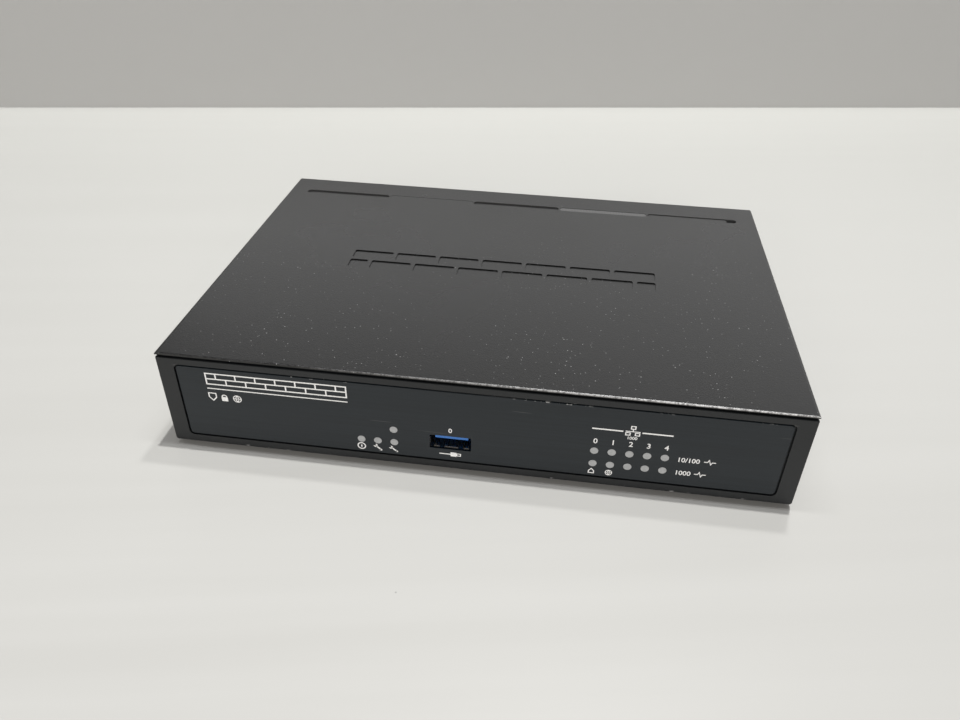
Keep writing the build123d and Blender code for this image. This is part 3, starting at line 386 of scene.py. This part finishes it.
class Print:
    """Flat graphics drawn in millimetres, then raised a hair off a vertical panel."""

    def __init__(self, name):
        self.name = name
        self.mesh = bmesh.new()

    def shape(self, outline):
        """A filled outline of (across, up) points, as a thin closed plate."""
        low = [self.mesh.verts.new((x, 0.0, z)) for x, z in outline]
        high = [self.mesh.verts.new((x, -INK_THICKNESS, z)) for x, z in outline]
        self.mesh.faces.new(low)
        self.mesh.faces.new(reversed(high))
        for index in range(len(low)):
            after = (index + 1) % len(low)
            self.mesh.faces.new((low[index], high[index], high[after], low[after]))

    def box(self, left, bottom, right, top):
        """A filled rectangle."""
        self.shape([(left, bottom), (right, bottom), (right, top), (left, top)])

    def stroke(self, points, width, closed=False):
        """A mitred stroke along points, as one closed plate with no faces inside it."""
        spots = [Vector(point) for point in points]
        count = len(spots)
        rims = ([], [])
        for index, spot in enumerate(spots):
            before = spots[index - 1] if closed or index > 0 else None
            after = spots[(index + 1) % count] if closed or index < count - 1 else None
            ways = [(spot - before).normalized()] if before is not None else []
            ways += [(after - spot).normalized()] if after is not None else []
            sides = [Vector((-way.y, way.x)) for way in ways]
            mitre = sum(sides, Vector((0.0, 0.0))).normalized()
            reach = width / 2 / max(mitre.dot(sides[0]), MITRE_LIMIT)
            rims[0].append(spot - mitre * reach)
            rims[1].append(spot + mitre * reach)
        levels = (0.0, -INK_THICKNESS)
        corners = [[[self.mesh.verts.new((at.x, y, at.y)) for at in rim] for y in levels] for rim in rims]
        (near_low, near_high), (far_low, far_high) = corners
        steps = range(count if closed else count - 1)
        loops = ((near_high, far_high), (far_low, near_low), (near_low, near_high), (far_high, far_low))
        for first, second in loops:
            for step in steps:
                after = (step + 1) % count
                self.mesh.faces.new((first[step], first[after], second[after], second[step]))
        if not closed:
            for end in (0, -1):
                self.mesh.faces.new((near_low[end], near_high[end], far_high[end], far_low[end]))

    def ring_points(self, centre, radius, start, end, squash):
        """Points on part of a circle, between two angles in degrees, narrowed across by squash."""
        steps = max(6, int(CIRCLE_STEPS * (end - start) / 360.0))
        angles = [math.radians(start + (end - start) * step / steps) for step in range(steps + 1)]
        return [
            (centre[0] + squash * radius * math.cos(angle), centre[1] + radius * math.sin(angle))
            for angle in angles
        ]

    def disc(self, centre, radius):
        self.shape(self.ring_points(centre, radius, 0.0, 360.0, 1.0)[:-1])

    def circle(self, centre, radius, width, squash=1.0):
        self.stroke(self.ring_points(centre, radius, 0.0, 360.0, squash)[:-1], width, closed=True)

    def arc(self, centre, radius, width, start, end):
        self.stroke(self.ring_points(centre, radius, start, end, 1.0), width)

    def frame(self, left, bottom, right, top, width):
        """The outline of a rectangle, inside its four sides."""
        inset = width / 2
        low, high = (left + inset, bottom + inset), (right - inset, top - inset)
        self.stroke([low, (high[0], low[1]), high, (low[0], high[1])], width, closed=True)

    def figures(self, text, left, bottom, height, centred=False):
        """Numerals and slashes of a cap height, starting at left or centred on it."""
        curve = bpy.data.curves.new("figures", "FONT")
        curve.body = text
        curve.size = height / CAP_HEIGHT
        curve.extrude = INK_THICKNESS / 2
        curve.offset = FIGURE_SWELL * height
        curve.resolution_u = 4
        curve.align_x = "CENTER" if centred else "LEFT"
        source = bpy.data.objects.new("figures", curve)
        flat = bpy.data.meshes.new_from_object(source)
        place = Matrix.Translation((left, -INK_THICKNESS / 2, bottom))
        flat.transform(place @ Matrix.Rotation(math.radians(90), 4, "X"))
        self.mesh.from_mesh(flat)
        bpy.data.meshes.remove(flat)
        bpy.data.objects.remove(source)
        bpy.data.curves.remove(curve)

    def finish(self, panel_y, material, facing=-1):
        """Makes the object on a panel's face, looking along -Y, or along +Y where facing is 1."""
        bmesh.ops.recalc_face_normals(self.mesh, faces=self.mesh.faces)
        mesh = bpy.data.meshes.new(self.name)
        self.mesh.to_mesh(mesh)
        self.mesh.free()
        turn = Matrix.Rotation(math.pi, 4, "Z") if facing > 0 else Matrix.Identity(4)
        mesh.transform(Matrix.Translation((0.0, panel_y, 0.0)) @ turn @ Matrix.Scale(MM, 4))
        made = bpy.data.objects.new(self.name, mesh)
        bpy.context.scene.collection.objects.link(made)
        mesh.materials.append(material)
        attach(made, ROOT_BODY)


def brick_strip(art, left, bottom, right, top):
    """Two courses of bricks in outline, in running bond."""
    width = 0.42
    count = 7
    art.frame(left, bottom, right, top, width)
    middle = (bottom + top) / 2
    art.box(left + width, middle - width / 2, right - width, middle + width / 2)
    length = (right - left - width) / count
    joints = [left + width / 2 + index * length for index in range(1, count)]
    shifted = [left + width / 2 + (index + 0.5) * length for index in range(count)]
    courses = ((joints, bottom + width, middle - width / 2), (shifted, middle + width / 2, top - width))
    for places, low, high in courses:
        for x in places:
            art.box(x - width / 2, low, x + width / 2, high)


def shield(art, x, bottom, height, width):
    half = height * 0.42
    top = bottom + height
    shoulder = bottom + height * 0.45
    outline = [(x - half, top), (x - half, shoulder), (x, bottom), (x + half, shoulder), (x + half, top)]
    art.stroke(outline, width, closed=True)


def padlock(art, x, bottom, height):
    half = height * 0.36
    body_top = bottom + height * 0.58
    art.box(x - half, bottom, x + half, body_top)
    art.arc((x, body_top), height * 0.27, height * 0.13, 0.0, 180.0)


def globe(art, x, middle, radius, width):
    art.circle((x, middle), radius, width)
    art.circle((x, middle), radius - width, width, squash=0.45)
    reach = radius - width / 2
    art.stroke([(x - reach, middle), (x + reach, middle)], width)


def house(art, x, bottom, size, width):
    half = size * 0.45
    eaves = bottom + size * 0.5
    peak = bottom + size
    outline = [(x - half, bottom), (x + half, bottom), (x + half, eaves), (x, peak), (x - half, eaves)]
    art.stroke(outline, width, closed=True)


def spanner(art, head, tail, width):
    """A spanner lying from its open head to its tail."""
    heading = math.degrees(math.atan2(head[1] - tail[1], head[0] - tail[0]))
    art.stroke([tail, head], width)
    art.arc(head, width * 0.95, width * 0.7, heading + 50.0, heading + 310.0)
    art.disc(tail, width * 0.75)


def pulse(art, left, middle, width, height):
    """A blip on a line, for activity."""
    steps = [(0, 0), (0.3, 0), (0.42, 0.5), (0.58, -0.5), (0.7, 0), (1.0, 0)]
    art.stroke([(left + across * width, middle + up * height) for across, up in steps], 0.3)


def plug(art, left, right, middle, width):
    """A cord and a flat plug."""
    body = right - 3.2
    art.stroke([(left, middle), (body, middle)], width)
    art.box(body, middle - 0.8, body + 1.8, middle + 0.8)
    art.frame(body + 1.8, middle - 0.55, right, middle + 0.55, width * 0.8)


def centre_of(node):
    """Middle of a CAD node's box, in millimetres."""
    return (Vector(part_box(node)[0]) + Vector(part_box(node)[1])) / 2 / MM


LIGHT_PITCH = 5.08
LOWER_ROW = 4.9             # height of the lower lights above the overlay's lower edge
UPPER_ROW = LOWER_ROW * 2
NAME_SPAN = (8.7, 52.0)     # of the strip where a name would stand, from the overlay's left edge
FIGURE_HEIGHT = 1.7


def name_print(art, left, base):
    """The brick strip, a line under it and three signs, from the overlay's lower left corner."""
    start, end = (left + across for across in NAME_SPAN)
    brick_strip(art, start, base + 20.1, end, base + 24.4)
    art.box(start, base + 18.5, end, base + 18.85)
    shield(art, left + 9.9, base + 14.2, 2.7, 0.36)
    padlock(art, left + 13.6, base + 14.25, 2.7)
    globe(art, left + 17.6, base + 15.55, 1.2, 0.28)


def port_print(art, base):
    """Numbers, a network sign, speeds and the inner and outer network, round the port lights."""
    middle = centre_of("port_light_pipe").x
    columns = [middle + (index - 2) * LIGHT_PITCH for index in range(5)]
    for number, x in enumerate(columns):
        art.figures(str(number), x, base + 12.75, 1.85, centred=True)
    for start, end in ((-11.55, -2.75), (2.65, 11.35)):
        art.box(middle + start, base + 18.0, middle + end, base + 18.45)
    art.frame(middle - 0.75, base + 19.15, middle + 0.75, base + 20.45, 0.3)
    art.box(middle - 0.15, base + 18.52, middle + 0.15, base + 19.15)
    art.box(middle - 2.1, base + 18.25, middle + 2.1, base + 18.52)
    for x in (middle - 1.35, middle + 1.35):
        art.frame(x - 0.75, base + 16.85, x + 0.75, base + 18.05, 0.3)
    art.figures("1000", middle, base + 15.45, 1.1, centred=True)
    speeds = middle + 13.65
    art.figures("10/100", speeds, base + UPPER_ROW - 0.85, FIGURE_HEIGHT)
    pulse(art, speeds + 7.6, base + UPPER_ROW, 3.4, 1.7)
    art.figures("1000", speeds, base + LOWER_ROW - 0.95, FIGURE_HEIGHT)
    pulse(art, speeds + 5.6, base + LOWER_ROW - 0.1, 3.4, 1.7)
    house(art, columns[0] - 0.15, base + 1.1, 1.7, 0.3)
    globe(art, columns[1] - 0.1, base + 1.85, 0.95, 0.24)


def usb_print(art, base):
    """A number over the USB port and a plug under it."""
    port = centre_of("usb_shell").x
    art.figures("0", port, base + 10.9, FIGURE_HEIGHT, centred=True)
    plug(art, port - 3.35, port + 3.25, base + 2.45, 0.36)


def status_print(art, base):
    """A power sign and two spanners under the status lights."""
    status = centre_of("status_light_pipe").x
    art.circle((status - 5.2, base + 2.15), 1.15, 0.36)
    art.box(status - 5.4, base + 1.7, status - 5.0, base + 2.6)
    spanner(art, (status - 0.8, base + 2.85), (status + 0.8, base + 1.35), 0.5)
    spanner(art, (status + 4.0, base + 2.75), (status + 5.8, base + 1.35), 0.45)


def front_print():
    """White markings on the front panel."""
    art = Print("front_print")
    low = Vector(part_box("front_overlay")[0])
    left, base = low.x / MM, low.z / MM
    name_print(art, left, base)
    port_print(art, base)
    usb_print(art, base)
    status_print(art, base)
    art.finish(low.y, printed_ink("ink_white", 0.92))


def rear_print():
    """White markings over the rear connectors, which read from behind."""
    art = Print("rear_print")
    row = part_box("ethernet_shell_1")[1][2] / MM + 1.2
    for number in range(5):
        art.figures(str(number), -centre_of(f"ethernet_shell_{number + 1}").x, row, 2.0, centred=True)
    x = -centre_of("console_shell").x
    art.frame(x - 1.5, row, x + 1.5, row + 2.0, 0.3)
    art.stroke([(x - 0.9, row + 1.4), (x - 0.4, row + 1.0), (x - 0.9, row + 0.6)], 0.24)
    pin = centre_of("dc_jack_pin")
    x = -pin.x
    art.box(x - 2.2, pin.z + 8.0, x + 2.2, pin.z + 8.35)
    for dash in (-1.7, 0.0, 1.7):
        art.box(x + dash - 0.5, pin.z + 7.0, x + dash + 0.5, pin.z + 7.35)
    button = centre_of("reset_button")
    x, z = -button.x, button.z + 5.0
    art.arc((x, z), 1.1, 0.32, 20.0, 320.0)
    art.shape([(x + 0.6, z + 0.1), (x + 1.8, z + 0.1), (x + 1.2, z + 1.0)])
    screw = centre_of("ground_screw")
    x, z = -screw.x, screw.z + 5.2
    art.box(x - 0.16, z + 1.35, x + 0.16, z + 2.4)
    for half, level in ((1.5, 1.2), (1.0, 0.6), (0.5, 0.0)):
        art.box(x - half, z + level - 0.15, x + half, z + level + 0.15)
    panel = Vector(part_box("rear_panel")[1]) / MM
    padlock(art, panel.x - 11.8, panel.z - 7.0, 2.4)
    art.finish(panel.y * MM, printed_ink("ink_pale", 0.7), facing=1)


# ---------------------------------------------------------------- table, light and camera
TABLE_TURN = math.radians(10.9)
TABLE_HALF = 2.5            # from the middle to its left, right and front edges
TABLE_BACK = 0.2922
BACKDROP_HEIGHT = 0.12
OVERHEAD = 1.5              # height of the lights above the table


def table_material():
    """Pale laminate: faint long streaks, a soft gloss and a few specks.

    Its colour is painted lighter towards its back, as painted light, and a little darker to the right, as
    painted shade.
    """
    shader = Shader("table_laminate", grey(0.46), 0.38)
    streak = shader.noise(60.0, 4.0, (0.05, 1.0, 1.0))
    cloud = shader.noise(3.0, 2.0)
    colour = shader.mix(shader.remap(streak, 0.35, 0.7), (0.445, 0.441, 0.425), (0.465, 0.462, 0.447))
    colour = shader.mix(shader.remap(cloud, 0.35, 0.7, 0.0, 0.3), colour, (0.43, 0.427, 0.415))
    crumb = dust_specks(shader, 60.0, 0.3 * MM, 0.3)
    colour = shader.mix(shader.math("MULTIPLY", crumb, 0.5), colour, grey(0.12))
    # Painted shade: the colour darkens towards the right.
    painted_shade_right = shader.remap(shader.axis("X"), 0.0, 0.2, 0.0, 0.6)
    colour = shader.mix(painted_shade_right, colour, (0.4, 0.397, 0.385))
    # Painted light: the colour lightens towards the back.
    painted_light_back = shader.remap(shader.axis("Y"), -0.1, TABLE_BACK)
    colour = shader.mix(painted_light_back, colour, (0.5, 0.5, 0.48))
    shader.set(**{"Base Color": colour, "Roughness": shader.remap(streak, 0.3, 0.7, 0.34, 0.44)})
    shader.set(**{"Specular IOR Level": 0.25})
    shader.bump(streak, 0.05 * MM, 0.3)
    return shader.material


def stage_plane(name, corners, material):
    """A flat piece of the set, turned with the table."""
    mesh = bpy.data.meshes.new(name)
    mesh.from_pydata(corners, [], [tuple(range(len(corners)))])
    mesh.materials.append(material)
    made = bpy.data.objects.new(name, mesh)
    made.rotation_euler = (0.0, 0.0, TABLE_TURN)
    bpy.context.scene.collection.objects.link(made)


def table():
    """The table top, and the wall that stands on its back edge."""
    left, right, near = -TABLE_HALF, TABLE_HALF, -TABLE_HALF
    top = [(left, near, 0.0), (right, near, 0.0), (right, TABLE_BACK, 0.0), (left, TABLE_BACK, 0.0)]
    stage_plane("table", top, table_material())
    low, high = -0.01, BACKDROP_HEIGHT
    wall = [(x, TABLE_BACK, z) for x, z in ((left, low), (right, low), (right, high), (left, high))]
    stage_plane("backdrop", wall, Shader("backdrop", (0.43, 0.428, 0.42), 0.8).material)


def area_light(name, at, size, energy, colour):
    """A rectangular light that faces the middle of the case's footprint."""
    light = bpy.data.lights.new(name, "AREA")
    light.shape = "RECTANGLE"
    light.size, light.size_y = size
    light.energy = energy
    light.color = colour
    made = bpy.data.objects.new(name, light)
    made.location = at
    made.rotation_euler = (-Vector(at)).to_track_quat("-Z", "Y").to_euler()
    bpy.context.scene.collection.objects.link(made)
    return made


def studio_light():
    """Two lamps and a long tube overhead, with a window in front and a pale wall behind."""
    world = bpy.data.worlds.new("studio")
    bpy.context.scene.world = world
    world.use_nodes = True
    background = world.node_tree.nodes["Background"]
    background.inputs["Color"].default_value = (1.0, 0.98, 0.95, 1.0)
    background.inputs["Strength"].default_value = 0.12
    area_light("lamp", (0.13, 0.04, OVERHEAD), (0.03, 0.03), 16.0, (1.0, 0.995, 0.975))
    area_light("second_lamp", (0.22, 0.37, OVERHEAD), (0.08, 0.08), 6.8, (1.0, 1.0, 0.99))
    area_light("tube", (0.0, -0.04, OVERHEAD), (1.2, 0.05), 9.5, (0.98, 0.99, 1.0))
    window = area_light("front_window", (0.0, -1.6, 0.55), (1.6, 0.5), 17.0, (1.0, 0.96, 0.92))
    window.visible_glossy = False
    wall = area_light("rear_wall", (0.11, 1.2, 0.55), (2.22, 0.95), 6.35, (1.0, 1.0, 1.0))
    wall.visible_diffuse = False


CAMERA_AT = Vector((0.0242, -0.2417, 0.16739))
CAMERA_TOWARDS = Vector((-0.00252, -0.03203, 0.01824))
CAMERA_ROLL = math.radians(1.147)
CAMERA_LENS = 29.423


def camera():
    """The camera, turned a little about its line of sight."""
    data = bpy.data.cameras.new("camera")
    data.lens = CAMERA_LENS
    data.sensor_width = 36.0
    data.clip_start = 0.01
    made = bpy.data.objects.new("camera", data)
    forward = (CAMERA_TOWARDS - CAMERA_AT).normalized()
    right = forward.cross(Vector((0.0, 0.0, 1.0))).normalized()
    up = right.cross(forward)
    rolled_right = right * math.cos(CAMERA_ROLL) + up * math.sin(CAMERA_ROLL)
    rolled_up = up * math.cos(CAMERA_ROLL) - right * math.sin(CAMERA_ROLL)
    turn = Matrix((rolled_right, rolled_up, -forward)).transposed().to_4x4()
    made.matrix_world = Matrix.Translation(CAMERA_AT) @ turn
    bpy.context.scene.collection.objects.link(made)
    bpy.context.scene.camera = made


give_materials()
front_print()
rear_print()
table()
studio_light()
camera()
bpy.context.scene.view_settings.view_transform = "Standard"
